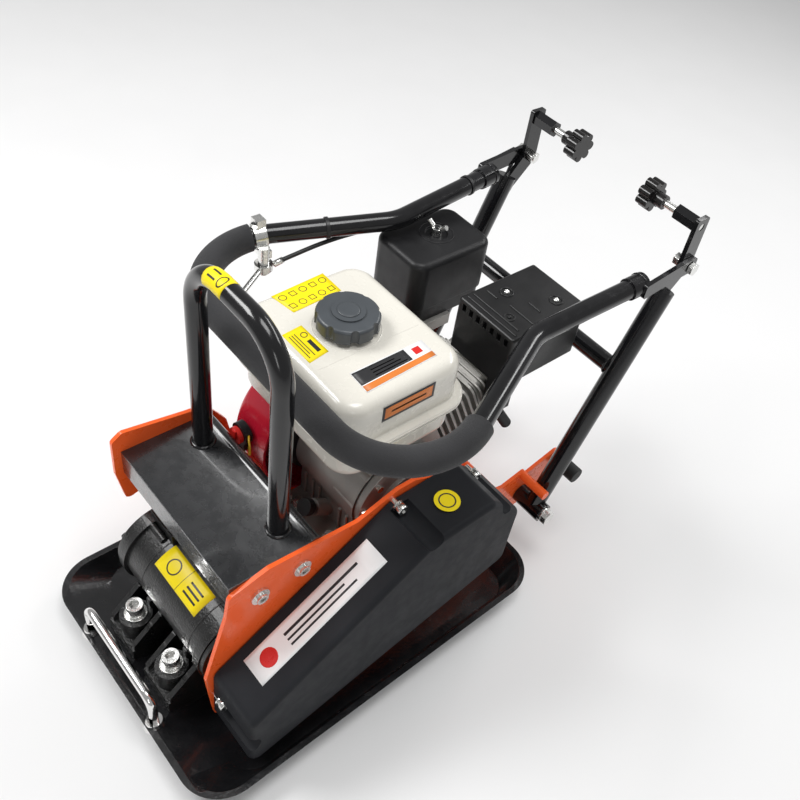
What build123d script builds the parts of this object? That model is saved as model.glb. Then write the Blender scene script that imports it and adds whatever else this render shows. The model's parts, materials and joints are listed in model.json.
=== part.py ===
from build123d import *
import os
from math import acos, atan2, cos, degrees, hypot, pi, radians, sin, sqrt, tan

os.makedirs("parts", exist_ok=True)

# Plate compactor. +Z is up, -Y is forward, +X is the belt side. The origin is the centre of
# the sole. The engine, console and handles share a centre plane at x = BODY_X.

# ---- driving dimensions, mm ----
PLATE_W = 448
PLATE_L = 627
PLATE_RIM = 43
PLATE_T = 9
BODY_X = -23
CONSOLE_HALF = 130
SIDE_T = 6
BED_TOP = 180
BED_T = 10
DECK_TOP = 330
DECK_Y = (-203, -78)
HOOP_TUBE = 13.5
HOOP_HALF = 89
HOOP_TOP = 643
HOOP_Y = -106
EXCITER_Y = -172
EXCITER_Z = 146
EXCITER_R = 62
EXCITER_X = (-125, 85)
CRANK_Y = 88
CRANK_Z = 280
BELT_X = 163
DRUM_GROOVE_R = 37
PULLEY_GROOVE_R = 26
BELT_H = 8
GUARD_X = (115, 204)
TANK_TOP = 518
TANK_BASE = 385
TANK_X = (-142, 95)
TANK_Y = (-35, 162)
CAP_X = -35
CAP_Y = 61
LOWER_PIVOT = (352, 120)
FOLD_PIVOT = (541, 556)
ARM_HALF = 170
ARM_R = 16
ARM_TOP = (504, 524)
HANDLE_R = 14
FOAM_R = 19
HANDLE_FRONT = (-62, 516)
HANDLE_SLOPE = (FOLD_PIVOT[1] - HANDLE_FRONT[1]) / (FOLD_PIVOT[0] - HANDLE_FRONT[0])
KNOB_Z = 622
KNOB_Y = 540
RUN_GAP = 0.05
SIDES = (1, -1)

nodes = {}


# ---- helpers ----
def block(x0, x1, y0, y1, z0, z1):
    size = Box(x1 - x0, y1 - y0, z1 - z0)
    return Pos((x0 + x1) / 2, (y0 + y1) / 2, (z0 + z1) / 2) * size


def rod(start, direction, radius, length):
    plane = Plane(origin=start, z_dir=direction)
    return plane * Cylinder(radius, length, align=(Align.CENTER, Align.CENTER, Align.MIN))


def rod_x(x0, x1, y, z, radius):
    return rod((x0, y, z), (1, 0, 0), radius, x1 - x0)


def rod_z(x, y, z0, z1, radius):
    return rod((x, y, z0), (0, 0, 1), radius, z1 - z0)


def hexagon(start, direction, across, length):
    plane = Plane(origin=start, z_dir=direction)
    return extrude(plane * RegularPolygon(across / sqrt(3), 6), length)


def plate_yz(points, x0, x1, radius):
    outline = FilletPolyline(*points, radius=radius, close=True)
    return extrude(Plane.YZ.offset(x0) * make_face(outline), x1 - x0)


def tube(points, radii, radius):
    path = FilletPolyline(*points, radius=radii)
    section = Plane(origin=path @ 0, z_dir=path % 0) * Circle(radius)
    return sweep(section, path=path)


def side_x(side, half):
    return BODY_X + side * half


def side_rod(side, half0, half1, y, z, radius):
    return rod((side_x(side, half0), y, z), (side, 0, 0), radius, half1 - half0)


def side_hex(side, half0, half1, y, z, across):
    return hexagon((side_x(side, half0), y, z), (side, 0, 0), across, half1 - half0)


def side_plate_solid(points, side, half0, half1, radius):
    x0, x1 = sorted((side_x(side, half0), side_x(side, half1)))
    return plate_yz(points, x0, x1, radius)


def handle_z(y):
    return HANDLE_FRONT[1] + (y - HANDLE_FRONT[0]) * HANDLE_SLOPE


# ---- base plate and what is bolted to it ----
MOUNT_POINTS = [(side_x(side, 92), y) for side in SIDES for y in (-40, 222)]
PEDESTAL_TOP = 95


def tray(inset, z_low, z_high):
    low_w = PLATE_W - 30 - 2 * inset
    low_y0 = -PLATE_L / 2 + 62 + inset
    low_y1 = PLATE_L / 2 - 36 - inset
    low = Pos(0, (low_y0 + low_y1) / 2, z_low) * RectangleRounded(low_w, low_y1 - low_y0, 44 - inset)
    high = Pos(0, 0, z_high) * RectangleRounded(PLATE_W - 2 * inset, PLATE_L - 2 * inset, 62 - inset)
    return loft([low, high])


def plate_shell():
    return tray(0, 0, PLATE_RIM) - tray(PLATE_T, PLATE_T, PLATE_RIM + 0.5)


def base_plate():
    body = plate_shell()
    for x, y in MOUNT_POINTS:
        body += block(x - 28, x + 28, y - 24, y + 24, PLATE_T - 1, PEDESTAL_TOP)
        body -= rod_z(x, y, PEDESTAL_TOP - 16, PEDESTAL_TOP + 1, 5)
    return body


def rubber_buffers():
    solids = []
    for x, y in MOUNT_POINTS:
        buffer = rod_z(x, y, PEDESTAL_TOP, BED_TOP - BED_T, 25)
        waist = rod_z(x, y, PEDESTAL_TOP + 22, BED_TOP - BED_T - 22, 30) - rod_z(
            x, y, PEDESTAL_TOP + 20, BED_TOP - BED_T - 20, 21
        )
        stud = rod_z(x, y, PEDESTAL_TOP - 15, PEDESTAL_TOP, 5)
        solids.append(buffer - waist + stud)
    return Compound(solids + rubber_stops())


BAR_X = (-108, 69)
BAR_Y = -300
BAR_TOP = 100
BAR_R = 6.5
LIP_Z = 35


def carry_bar():
    ends = [(BAR_X[0], BAR_Y, LIP_Z + 3), (BAR_X[1], BAR_Y, LIP_Z + 3)]
    tops = [(BAR_X[0], BAR_Y, BAR_TOP), (BAR_X[1], BAR_Y, BAR_TOP)]
    bar = tube([ends[0], tops[0], tops[1], ends[1]], [18, 18], BAR_R) - plate_shell()
    return Compound([bar] + carry_bar_cups())


def carry_bar_cups():
    solids = []
    for x in BAR_X:
        cup = Pos(x, BAR_Y, LIP_Z - 3) * Cone(15, 11, 16, align=(Align.CENTER, Align.CENTER, Align.MIN))
        solids.append(cup - rod_z(x, BAR_Y, LIP_Z - 10, 90, BAR_R) - plate_shell())
    return solids


FOOT_X = (-70, 29)
FOOT_Y = (-249, -95)
FOOT_TOP = 84


def foot_rib(x, outward):
    points = [
        (EXCITER_Y + 100 * outward, PLATE_T), (EXCITER_Y + 100 * outward, FOOT_TOP - 24),
        (EXCITER_Y + 56 * outward, FOOT_TOP + 18), (EXCITER_Y + 30 * outward, FOOT_TOP + 18),
        (EXCITER_Y + 30 * outward, PLATE_T),
    ]
    return plate_yz(points, x - 4, x + 4, 3)


def exciter_housing():
    x0, x1 = EXCITER_X
    body = rod_x(x0, x1, EXCITER_Y, EXCITER_Z, EXCITER_R)
    for x in FOOT_X:
        for y in FOOT_Y:
            outward = 1 if y > EXCITER_Y else -1
            y0, y1 = sorted((y + 26 * outward, EXCITER_Y + 30 * outward))
            body += block(x - 34, x + 34, y0, y1, PLATE_T, FOOT_TOP - 34)
            body += rod_z(x, y, PLATE_T, FOOT_TOP, 23)
            for dx in (-30, 0, 30):
                body += foot_rib(x + dx, outward)
    for x in EXCITER_X:
        inner = 14 if x == x0 else -14
        a, b = sorted((x, x + inner))
        body += rod_x(a, b, EXCITER_Y, EXCITER_Z, EXCITER_R + 5)
    boss_top = EXCITER_Z + EXCITER_R + 16
    body += block(x0 + 2, x0 + 60, EXCITER_Y - 14, EXCITER_Y + 14, EXCITER_Z + 40, boss_top)
    body -= rod_x(x0 - 1, x1 + 1, EXCITER_Y, EXCITER_Z, EXCITER_R - 12)
    for x in FOOT_X:
        for y in FOOT_Y:
            body -= rod_z(x, y, PLATE_T - 1, FOOT_TOP + 30, 7)
            body -= rod_z(x, y, FOOT_TOP, FOOT_TOP + 40, 20)
    return body - plate_shell()


def exciter_end_covers():
    solids = []
    for x, out in ((EXCITER_X[0], -1), (EXCITER_X[1], 1)):
        cover = rod((x, EXCITER_Y, EXCITER_Z), (out, 0, 0), EXCITER_R + 3, 8)
        cover += rod((x, EXCITER_Y, EXCITER_Z), (-out, 0, 0), EXCITER_R - 12, 6)
        cover += rod((x, EXCITER_Y, EXCITER_Z), (out, 0, 0), 30, 12)
        cover -= rod((x - out * 8, EXCITER_Y, EXCITER_Z), (out, 0, 0), 17, 40)
        solids.append(cover)
    return Compound(solids + exciter_cover_bolts())


def exciter_cover_bolts():
    solids = []
    for x, out in ((EXCITER_X[0] - 8, -1), (EXCITER_X[1] + 8, 1)):
        for step in range(6):
            angle = radians(60 * step + 30)
            y = EXCITER_Y + (EXCITER_R - 6) * cos(angle)
            z = EXCITER_Z + (EXCITER_R - 6) * sin(angle)
            solids.append(hexagon((x, y, z), (out, 0, 0), 11, 6))
    return solids


def exciter_bearings():
    solids = []
    for x in (EXCITER_X[0] + 8, EXCITER_X[1] - 26):
        ring = rod_x(x, x + 18, EXCITER_Y, EXCITER_Z, EXCITER_R - 12)
        solids.append(ring - rod_x(x - 1, x + 19, EXCITER_Y, EXCITER_Z, 15 + RUN_GAP))
    return Compound(solids)


def exciter_screws():
    solids = []
    for x in FOOT_X:
        for y in FOOT_Y:
            head = rod_z(x, y, FOOT_TOP + 8, FOOT_TOP + 24, 12)
            head -= hexagon((x, y, FOOT_TOP + 15), (0, 0, 1), 13, 10)
            shank = rod_z(x, y, PLATE_T + 14, FOOT_TOP + 8, 7)
            solids.append(head + shank)
    return Compound(solids + exciter_washers())


def exciter_washers():
    solids = []
    for x in FOOT_X:
        for y in FOOT_Y:
            for z0, z1, radius in ((0, 3.5, 16), (3.6, 8, 13.5)):
                ring = rod_z(x, y, FOOT_TOP + z0, FOOT_TOP + z1, radius)
                solids.append(ring - rod_z(x, y, FOOT_TOP - 1, FOOT_TOP + 9, 7))
    return solids


def eccentric_shaft():
    return rod_x(EXCITER_X[0] + 4, BELT_X + 12, EXCITER_Y, EXCITER_Z, 15)


def eccentric_weight():
    x0, x1 = EXCITER_X[0] + 34, EXCITER_X[1] - 34
    weight = rod_x(x0, x1, EXCITER_Y, EXCITER_Z, 44)
    weight -= block(x0 - 1, x1 + 1, EXCITER_Y - 50, EXCITER_Y + 50, EXCITER_Z + 20, EXCITER_Z + 60)
    return weight - rod_x(x0 - 1, x1 + 1, EXCITER_Y, EXCITER_Z, 15)


def grooved_wheel(y, z, groove_r, bore_r):
    wheel = rod_x(BELT_X - 9.5, BELT_X + 9.5, y, z, groove_r)
    for x0, x1 in ((BELT_X - 9.5, BELT_X - 6.5), (BELT_X + 6.5, BELT_X + 9.5)):
        wheel += rod_x(x0, x1, y, z, groove_r + 7)
    return wheel - rod_x(BELT_X - 30, BELT_X + 30, y, z, bore_r)


def exciter_pulley():
    return grooved_wheel(EXCITER_Y, EXCITER_Z, PULLEY_GROOVE_R, 15)


def v_belt():
    def loop(grow):
        centre_a = Pos(CRANK_Y, CRANK_Z) * Circle(DRUM_GROOVE_R + grow)
        centre_b = Pos(EXCITER_Y, EXCITER_Z) * Circle(PULLEY_GROOVE_R + grow)
        hull = make_hull(centre_a.edges() + centre_b.edges())
        return extrude(Plane.YZ.offset(BELT_X - 5.5) * hull, 11)
    return loop(0.5 + BELT_H) - loop(0.5)


# ---- console: bed, side plates, deck, hoop ----
def engine_bed():
    x0, x1 = side_x(-1, CONSOLE_HALF), side_x(1, CONSOLE_HALF)
    bed = block(x0, x1, -92, 262, BED_TOP - BED_T, BED_TOP)
    bed += block(x0, x1, -92, -84, BED_TOP - 46, BED_TOP)
    bed += block(x0, x1, 254, 262, BED_TOP - 46, BED_TOP)
    for x, y in MOUNT_POINTS:
        bed -= rod_z(x, y, BED_TOP - 6, BED_TOP + 1, 12)
    return bed


def bed_cross_tube():
    y, z = LOWER_PIVOT
    return rod_x(side_x(-1, CONSOLE_HALF), side_x(1, CONSOLE_HALF), y - 60, z + 20, 14)


REAR_TAIL = [
    (LOWER_PIVOT[0] + 72, 182),
    (LOWER_PIVOT[0] + 94, 168),
    (LOWER_PIVOT[0] + 92, 138),
    (LOWER_PIVOT[0] + 30, 92),
    (LOWER_PIVOT[0] - 20, 86),
]


def side_plate_right():
    outline = [
        (-233, 50), (-243, 158), (-211, 279), (-206, 320), (-150, 335), (-14, 322),
        (52, 343), (82, 342), (205, 282), (222, 190), (LOWER_PIVOT[0] - 20, 160),
    ] + REAR_TAIL + [(240, 112), (60, 100), (-190, 46)]
    plate = side_plate_solid(outline, 1, CONSOLE_HALF, CONSOLE_HALF + SIDE_T, 9)
    plate -= side_rod(1, CONSOLE_HALF - 1, CONSOLE_HALF + 9, EXCITER_Y, EXCITER_Z, 24)
    plate -= side_rod(1, CONSOLE_HALF - 1, CONSOLE_HALF + 9, CRANK_Y, CRANK_Z, 24)
    return plate - pivot_hole(1) + front_stop_tab(1)


def side_plate_left():
    outline = [
        (-204, 229), (-214, 290), (-213, 352), (-198, 363), (-108, 348), (-76, 344),
        (-46, 300), (-38, 262), (-30, 190), (160, 178), (LOWER_PIVOT[0] - 20, 160),
    ] + REAR_TAIL + [(240, 120), (0, 130), (-84, 150), (-120, 225), (-172, 240)]
    plate = side_plate_solid(outline, -1, CONSOLE_HALF, CONSOLE_HALF + SIDE_T, 8)
    return plate - pivot_hole(-1) + front_stop_tab(-1)


def pivot_hole(side):
    return side_rod(side, CONSOLE_HALF - 1, CONSOLE_HALF + SIDE_T + 1, *LOWER_PIVOT, 8)


STOP_TAB = (LOWER_PIVOT[0] - 8, LOWER_PIVOT[1] + 50)


def front_stop_tab(side):
    y, z = STOP_TAB
    tab = side_rod(side, CONSOLE_HALF, CONSOLE_HALF + 60, y, z, 8)
    arm = [(y - 70, z - 26), (y - 70, z - 6), (y, z + 8), (y + 6, z - 6), (y - 20, z - 22)]
    return tab + side_plate_solid(arm, side, CONSOLE_HALF, CONSOLE_HALF + SIDE_T, 4)


def side_plate_screws():
    solids = []
    for y, z in ((-164, 290), (-102, 297)):
        screw = side_rod(1, CONSOLE_HALF + SIDE_T, CONSOLE_HALF + SIDE_T + 4, y, z, 13)
        screw += side_rod(1, CONSOLE_HALF + SIDE_T, CONSOLE_HALF + SIDE_T + 9, y, z, 8)
        screw -= side_hex(1, CONSOLE_HALF + SIDE_T + 4, CONSOLE_HALF + SIDE_T + 10, y, z, 8)
        solids.append(screw)
    return solids


def hoop_deck():
    x0, x1 = side_x(-1, CONSOLE_HALF), side_x(1, CONSOLE_HALF)
    y0, y1 = DECK_Y
    deck = block(x0, x1, y0, y1, DECK_TOP - 6, DECK_TOP)
    deck += block(x0, x1, y0, y0 + 6, DECK_TOP - 42, DECK_TOP)
    deck += rod_x(x0, x1, y1, DECK_TOP - 8, 10)
    for x in (x0, x1 - 6):
        deck += block(x, x + 6, y0, y1, DECK_TOP - 40, DECK_TOP - 3)
    return deck


def lift_hoop():
    left, right = side_x(-1, HOOP_HALF), side_x(1, HOOP_HALF)
    corners = [(left, DECK_TOP), (left, HOOP_TOP), (right, HOOP_TOP), (right, DECK_TOP)]
    points = [(x, HOOP_Y, z) for x, z in corners]
    return tube(points, [62, 62], HOOP_TUBE) - tube(points, [62, 62], HOOP_TUBE - 3)


# ---- belt guard ----
GUARD_OUTLINE = [(-235, 52), (-233, 166), (35, 330), (153, 334), (219, 268), (217, 150)]
GUARD_BOLTS = [(-236, 108), (44, 336), (190, 304)]
GUARD_WALL = 3


def belt_guard():
    x0, x1 = GUARD_X
    outer = make_face(FilletPolyline(*GUARD_OUTLINE, radius=16, close=True))
    inner = offset(outer, amount=-GUARD_WALL)
    guard = extrude(Plane.YZ.offset(x0) * outer, x1 - x0)
    guard = fillet(guard.edges().group_by(Axis.X)[-1], 9)
    for y, z in GUARD_BOLTS:
        guard -= rod_x(x0 + 10, x1 + 1, y, z, 17)
    cavity = extrude(Plane.YZ.offset(x0 - 1) * inner, x1 - x0 - GUARD_WALL + 1)
    for y, z in GUARD_BOLTS:
        cavity -= rod_x(x0 + 7, x1 + 1, y, z, 20)
        cavity -= rod_x(x0 - 2, x0 + 10, y, z, 20)
    guard -= cavity
    for y, z in GUARD_BOLTS:
        guard -= rod_x(x0 - 1, x0 + 20, *bolt_seat(y, z), 4)
    return guard


def bolt_seat(y, z):
    centre_y, centre_z = 0, 200
    reach = hypot(centre_y - y, centre_z - z)
    return y + 6 * (centre_y - y) / reach, z + 6 * (centre_z - z) / reach


def console_bolts():
    solids = []
    for y, z in GUARD_BOLTS:
        by, bz = bolt_seat(y, z)
        x = GUARD_X[0] + 10
        bolt = rod_x(x, x + 2, by, bz, 8.5) + hexagon((x, by, bz), (1, 0, 0), 12, 9)
        solids.append(bolt + rod_x(side_x(1, CONSOLE_HALF + SIDE_T), x, by, bz, 4))
    return Compound(solids + side_plate_screws())


# ---- engine ----
CASE_X = (-62, 72)
ENGINE_BOLT_X = (-34, 42)
ENGINE_BOLT_Y = (0, 166)
CYL_ANGLE = 25
CYL_DIR = (0, cos(radians(CYL_ANGLE)), sin(radians(CYL_ANGLE)))


def along_cylinder(distance, x=8):
    return (x, CRANK_Y + distance * CYL_DIR[1], CRANK_Z + distance * CYL_DIR[2])


def cylinder_block(distance0, distance1, half_x, half_h, x=8):
    plane = Plane(origin=along_cylinder(distance0, x), x_dir=(1, 0, 0), z_dir=CYL_DIR)
    return extrude(plane * RectangleRounded(2 * half_x, 2 * half_h, 10), distance1 - distance0)


def crankcase():
    x0, x1 = CASE_X
    case = rod_x(x0, x1, CRANK_Y, CRANK_Z, 76)
    case += block(x0, x1, 24, 150, BED_TOP, CRANK_Z)
    case += block(x0, x1, -17, 186, BED_TOP, BED_TOP + 12)
    case += cylinder_block(40, 96, 58, 56) + cylinder_barrel() + oil_filler()
    for x in ENGINE_BOLT_X:
        for y in ENGINE_BOLT_Y:
            case -= rod_z(x, y, BED_TOP - 1, BED_TOP + 13, 5)
    case -= rod_x(x0 + 10, x1 - 8, CRANK_Y, CRANK_Z, 58)
    case -= rod_x(x0 - 1, x1 + 1, CRANK_Y, CRANK_Z, 14)
    return case


def engine_bolts():
    solids = []
    for x in ENGINE_BOLT_X:
        for y in ENGINE_BOLT_Y:
            z = BED_TOP + 12
            nut = hexagon((x, y, z + 2.5), (0, 0, 1), 14, 8) + rod_z(x, y, z, z + 2.5, 11)
            solids.append(nut + rod_z(x, y, BED_TOP, z + 14, 5))
    return Compound(solids + side_cover_bolts())


def crankcase_side_cover():
    x1 = CASE_X[1]
    cover = rod_x(x1, x1 + 12, CRANK_Y, CRANK_Z, 74) + rod_x(x1, x1 + 18, CRANK_Y, CRANK_Z, 38)
    cover += block(x1, x1 + 12, CRANK_Y - 66, CRANK_Y + 66, BED_TOP + 14, CRANK_Z)
    return cover - rod_x(x1 - 1, x1 + 30, CRANK_Y, CRANK_Z, 14)


def side_cover_bolts():
    solids = []
    for angle in (-140, -100, 175, 135, 95, 50, 5, -40):
        y = CRANK_Y + 66 * cos(radians(angle))
        z = CRANK_Z + 66 * sin(radians(angle))
        solids.append(hexagon((CASE_X[1] + 12, y, z), (1, 0, 0), 10, 7))
    return solids


def cylinder_barrel():
    barrel = cylinder_block(96, 176, 44, 44)
    for step in range(7):
        barrel += cylinder_block(101 + 11 * step, 104.5 + 11 * step, 58, 56)
    return barrel


def cylinder_head():
    head = cylinder_block(176, 206, 50, 40)
    for step in range(3):
        head += cylinder_block(179 + 10 * step, 182.5 + 10 * step, 58, 43)
    return head


def rocker_cover():
    return cylinder_block(206, 222, 46, 36) + cylinder_block(222, 230, 41, 31)


def spark_plug_cap():
    x, y, z = along_cylinder(194, 66)
    y += 8
    z -= 24
    return rod((x, y, z), (1, 0, 0), 7, 16) + rod((x + 14, y, z), (0.25, 0.5, -0.83), 8.5, 34)


def crankshaft():
    shaft = rod_x(-128, 200, CRANK_Y, CRANK_Z, 9.5) + rod_x(-60, 70, CRANK_Y, CRANK_Z, 13.9)
    for x0, x1 in ((-34, -18), (26, 42)):
        shaft += rod_x(x0, x1, CRANK_Y, CRANK_Z, 42)
    return shaft


def flywheel():
    wheel = rod_x(-112, -74, CRANK_Y, CRANK_Z, 84) - rod_x(-113, -86, CRANK_Y, CRANK_Z, 70)
    wheel += rod_x(-112, -74, CRANK_Y, CRANK_Z, 26)
    return wheel - rod_x(-113, -73, CRANK_Y, CRANK_Z, 9.5)


def clutch_hub():
    hub = rod_x(120, 148, CRANK_Y, CRANK_Z, 20)
    return Compound([hub - rod_x(119, 149, CRANK_Y, CRANK_Z, 9.5)] + clutch_shoes())


def clutch_shoes():
    ring = rod_x(122, 146, CRANK_Y, CRANK_Z, 35) - rod_x(121, 147, CRANK_Y, CRANK_Z, 20)
    for step in range(3):
        angle = radians(120 * step)
        gap_dir = (0, cos(angle), sin(angle))
        slot_plane = Plane(origin=(134, CRANK_Y, CRANK_Z), x_dir=(1, 0, 0), z_dir=gap_dir)
        ring -= slot_plane * Pos(0, 0, 30) * Box(40, 4, 60)
    return list(ring.solids())


def clutch_drum():
    cup = rod_x(119, 153.5, CRANK_Y, CRANK_Z, 40) - rod_x(118, 149, CRANK_Y, CRANK_Z, 36)
    cup -= rod_x(148, 154, CRANK_Y, CRANK_Z, 17)
    return cup + grooved_wheel(CRANK_Y, CRANK_Z, DRUM_GROOVE_R, 17)


def drum_bearing():
    ring = rod_x(154, 172, CRANK_Y, CRANK_Z, 17)
    return ring - rod_x(153, 173, CRANK_Y, CRANK_Z, 9.5 + RUN_GAP)


SHROUD_X = (-136, -62)
SHROUD_R = 120
SHROUD_CENTRE = (CRANK_Y - 12, CRANK_Z + 16)
SHROUD_Z = (186, 380)
ROPE_X = -144.5
ROPE_RISE = 5
ROPE_DIR = (0, cos(radians(ROPE_RISE)), sin(radians(ROPE_RISE)))


def shroud_outline(grow):
    height = SHROUD_Z[1] - SHROUD_Z[0] + 2 * grow
    band = Pos(SHROUD_CENTRE[0], (SHROUD_Z[0] + SHROUD_Z[1]) / 2) * Rectangle(400, height)
    return (Pos(*SHROUD_CENTRE) * Circle(SHROUD_R + grow)) & band


def fan_shroud():
    x0, x1 = SHROUD_X
    shell = extrude(Plane.YZ.offset(x0) * shroud_outline(0), x1 - x0)
    shell = fillet(shell.edges().group_by(Axis.X)[0], 8)
    shell -= extrude(Plane.YZ.offset(x0 + 4) * shroud_outline(-4), x1 - x0)
    return shell - rod_x(x0 - 1, x0 + 5, CRANK_Y, CRANK_Z, 70)


def recoil_cover():
    x0 = SHROUD_X[0]
    upward = (Align.CENTER, Align.CENTER, Align.MIN)
    dome = Pos(x0, CRANK_Y, CRANK_Z) * Rot(0, -90, 0) * Cone(86, 74, 26, align=upward)
    dome = fillet(dome.edges().group_by(Axis.X)[0], 8)
    inner = Pos(x0 + 1, CRANK_Y, CRANK_Z) * Rot(0, -90, 0) * Cone(80, 69, 24, align=upward)
    dome -= inner
    for step in range(10):
        angle = radians(36 * step)
        y = CRANK_Y + 54 * cos(angle)
        z = CRANK_Z + 54 * sin(angle)
        dome -= rod_x(x0 - 30, x0 - 20, y, z, 8)
    dome -= rod((ROPE_X, CRANK_Y, CRANK_Z), ROPE_DIR, 5, 100)
    return dome + rod((x0 - 20, CRANK_Y, CRANK_Z), (-1, 0, 0), 14, 6)


def starter_reel():
    reel = rod_x(ROPE_X - 8, ROPE_X + 8, CRANK_Y, CRANK_Z, 42)
    groove = rod_x(ROPE_X - 4, ROPE_X + 4, CRANK_Y, CRANK_Z, 60)
    return reel - (groove - rod_x(ROPE_X - 5, ROPE_X + 5, CRANK_Y, CRANK_Z, 34))


def starter_grip():
    start = (ROPE_X, CRANK_Y + 101 * ROPE_DIR[1], CRANK_Z + 101 * ROPE_DIR[2])
    plane = Plane(origin=start, x_dir=(1, 0, 0), z_dir=ROPE_DIR)
    grip = extrude(plane * RectangleRounded(15, 40, 7), 20)
    return grip + rod(start, tuple(-value for value in ROPE_DIR), 2.5, 40)


SWITCH = (-102, -57, 322)


def switch_body():
    x, y, z = SWITCH
    body = rod((x, y, z), (0, 1, 0), 17, 11.5)
    return body + block(x - 9, x + 9, y + 2, y + 11.5, z - 30, z)


def switch_knob():
    x, y, z = SWITCH
    knob = rod((x, y - 7, z), (0, 1, 0), 13, 6.5)
    return knob + block(x - 4, x + 4, y - 9.5, y - 6, z - 12, z + 12)


def fuel_tank():
    x0, x1 = TANK_X
    y0, y1 = TANK_Y
    cx, cy = (x0 + x1) / 2, (y0 + y1) / 2
    upper = Pos(cx, cy, 452) * extrude(RectangleRounded(x1 - x0, y1 - y0, 34), TANK_TOP - 452)
    upper = fillet(upper.edges().group_by(Axis.Z)[-1], 18)
    flange = Pos(cx, cy, 444) * extrude(RectangleRounded(x1 - x0 + 24, y1 - y0 + 22, 44), 10)
    flange = fillet(flange.edges().group_by(Axis.Z)[0], 3)
    lower = Pos(cx, cy, TANK_BASE) * extrude(RectangleRounded(x1 - x0 - 2, y1 - y0 - 2, 36), 450 - TANK_BASE)
    lower = fillet(lower.edges().group_by(Axis.Z)[0], 22)
    tank = upper + flange + lower
    hollow = RectangleRounded(x1 - x0 - 18, y1 - y0 - 18, 30)
    tank -= Pos(cx, cy, TANK_BASE + 7) * extrude(hollow, TANK_TOP - TANK_BASE - 15)
    neck = rod_z(CAP_X, CAP_Y, TANK_TOP - 4, TANK_TOP + 6, 28)
    return tank + neck - rod_z(CAP_X, CAP_Y, TANK_TOP - 20, TANK_TOP + 7, 23)


def fuel_cap():
    z0 = TANK_TOP + 6.5
    cap = rod_z(CAP_X, CAP_Y, z0, z0 + 20, 42)
    cap = fillet(cap.edges().group_by(Axis.Z)[-1], 5)
    for step in range(8):
        angle = radians(45 * step + 20)
        cap -= rod_z(CAP_X + 44 * cos(angle), CAP_Y + 44 * sin(angle), z0 - 1, z0 + 21, 6)
    cap += rod_z(CAP_X, CAP_Y, z0 + 20, z0 + 22, 22)
    return cap + rod_z(CAP_X, CAP_Y, z0 - 26, z0, 20)


MUFFLER_X = (-14, 97)
MUFFLER_Y = (240, 392)
MUFFLER_Z = (408, 508)


def muffler_body():
    x0, x1 = MUFFLER_X
    y0, y1 = MUFFLER_Y
    z0, z1 = MUFFLER_Z
    can = fillet(block(x0 + 8, x1 - 8, y0 + 8, y1 - 8, z0, z1 - 12).edges(), 6)
    return can - block(x0 + 11, x1 - 11, y0 + 11, y1 - 11, z0 + 3, z1 - 15)


def muffler_shield():
    x0, x1 = MUFFLER_X
    y0, y1 = MUFFLER_Y
    z0, z1 = MUFFLER_Z
    shell = block(x0, x1, y0, y1, z0 + 10, z1)
    shell = fillet(shell.edges().group_by(Axis.Z)[-1] + shell.edges().filter_by(Axis.Z), 5)
    shell -= block(x0 + 2, x1 - 2, y0 + 2, y1 - 2, z0, z1 - 2)
    for step in range(7):
        x = x0 + 14 + 14 * step
        shell -= block(x - 3.5, x + 3.5, y0 - 1, y0 + 10, z1 - 18, z1 - 6)
    for step in range(9):
        y = y0 + 16 + 15 * step
        shell -= block(x1 - 6, x1 + 1, y - 3.5, y + 3.5, z1 - 18, z1 - 6)
    return shell


def exhaust_elbow():
    return block(66, 90, 244, 280, 354, MUFFLER_Z[0] + 8)


AIR_X = (-186, -80)
AIR_Y = (222, 372)
AIR_Z = (404, 515)
AIR_SEAM = 430
WING = (-137, 303)


def air_cleaner_base():
    x0, x1 = AIR_X
    y0, y1 = AIR_Y
    plate = Pos((x0 + x1) / 2, (y0 + y1) / 2, AIR_Z[0])
    base = plate * extrude(RectangleRounded(x1 - x0 - 6, y1 - y0 - 6, 20), AIR_SEAM - AIR_Z[0])
    return base + rod_z(*WING, AIR_SEAM, AIR_Z[1] + 12, 4)


def air_cleaner_cover():
    x0, x1 = AIR_X
    y0, y1 = AIR_Y
    place = Pos((x0 + x1) / 2, (y0 + y1) / 2, AIR_SEAM)
    cover = place * extrude(RectangleRounded(x1 - x0, y1 - y0, 22), AIR_Z[1] - AIR_SEAM)
    cover = fillet(cover.edges().group_by(Axis.Z)[-1], 10)
    cavity = place * extrude(RectangleRounded(x1 - x0 - 6, y1 - y0 - 6, 19), AIR_Z[1] - AIR_SEAM - 8)
    cover -= cavity
    cover -= rod_z(*WING, AIR_Z[1] - 3, AIR_Z[1] + 1, 17)
    return cover - rod_z(*WING, AIR_Z[1] - 20, AIR_Z[1] + 1, 4)


def air_filter():
    ring = rod_z(*WING, AIR_SEAM, AIR_Z[1] - 12, 40)
    return ring - rod_z(*WING, AIR_SEAM - 1, AIR_Z[1], 26)


def air_wing_nut():
    x, y = WING
    z = AIR_Z[1] - 2.5
    nut = rod_z(x, y, z, z + 12, 8)
    for side in SIDES:
        nut += rod((x, y, z + 6), (side * 0.75, 0.2 * side, 0.65), 4, 20)
    return nut - rod_z(x, y, z - 1, z + 22, 4 + RUN_GAP)


def carburettor():
    body = block(-106, -50, 222, 262, 344, 386)
    body += rod_z(-80, 242, 312, 346, 19)
    body += block(-106, -76, 226, 300, 384, AIR_Z[0])
    return Compound([body, control_plate()])


def choke_lever():
    eye = rod((-106.5, 250, 374), (-1, 0, 0), 7, 5)
    return eye + block(-111.5, -108.5, 250, 290, 370, 378)


def fuel_valve_lever():
    eye = rod((-106.5, 236, 352), (-1, 0, 0), 8, 6)
    return eye + block(-112.5, -109, 214, 236, 348, 356)


CONTROL = (-36, 196, 418)


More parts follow.
